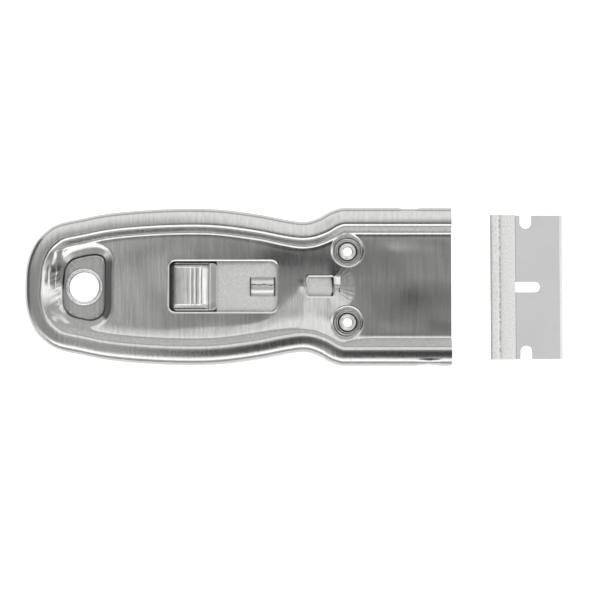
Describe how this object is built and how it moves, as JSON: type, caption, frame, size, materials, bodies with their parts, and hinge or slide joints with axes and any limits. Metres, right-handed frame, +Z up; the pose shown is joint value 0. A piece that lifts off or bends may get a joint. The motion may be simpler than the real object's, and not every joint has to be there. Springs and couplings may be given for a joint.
{
  "type": "razor blade scraper",
  "caption": "Pocket razor blade scraper: pressed steel handle with a hang hole, a latching thumb slide that carries a single-edge blade, and the blade laid out in front of its mouth.",
  "frame": {"origin": "middle of the whole, handle and blade, on the surface that the lower rim rests on", "axes": "+X from the tail to the blade, +Y to the handle's left, +Z up through its thickness"},
  "size_m": [0.1418, 0.0416, 0.0096],
  "materials": {
    "shell_steel": "bright brushed plating, brushed across the handle",
    "eyelet_steel": "bright rolled",
    "slide_steel": "fine matte grain",
    "button_steel": "burnished",
    "spring_steel": "plain spring steel",
    "blade_steel": "satin with a bright ground edge",
    "spine_metal": "dull rolled, faintly speckled"
  },
  "bodies": {
    "handle": {"upper_shell": "shell_steel", "lower_shell": "shell_steel", "hang_hole_collar": "eyelet_steel", "left_neck_eyelet": "eyelet_steel", "right_neck_eyelet": "eyelet_steel"},
    "carrier": {"blade_carrier": "slide_steel", "press_spring": "spring_steel"},
    "thumb_slide": {"slide_plate": "slide_steel", "detent_arch": "slide_steel", "thumb_button": "button_steel"},
    "blade": {"blade_steel": "blade_steel", "blade_spine": "spine_metal"}
  },
  "joints": [
    {"name": "carrier_slide", "type": "slide", "parent": "handle", "child": "carrier", "axis": [1, 0, 0], "range_m": [0, 0.01525], "deforming": ["detent_arch"]},
    {"name": "thumb_press", "type": "slide", "parent": "carrier", "child": "thumb_slide", "axis": [0, 0, 1], "range_m": [-0.001, 0], "stiffness_N_per_m": 300, "springref_m": 0.002, "deforming": ["press_spring"]},
    {"name": "blade_load", "type": "slide", "parent": "carrier", "child": "blade", "axis": [1, 0, 0], "range_m": [-0.0324, 0]}
  ]
}
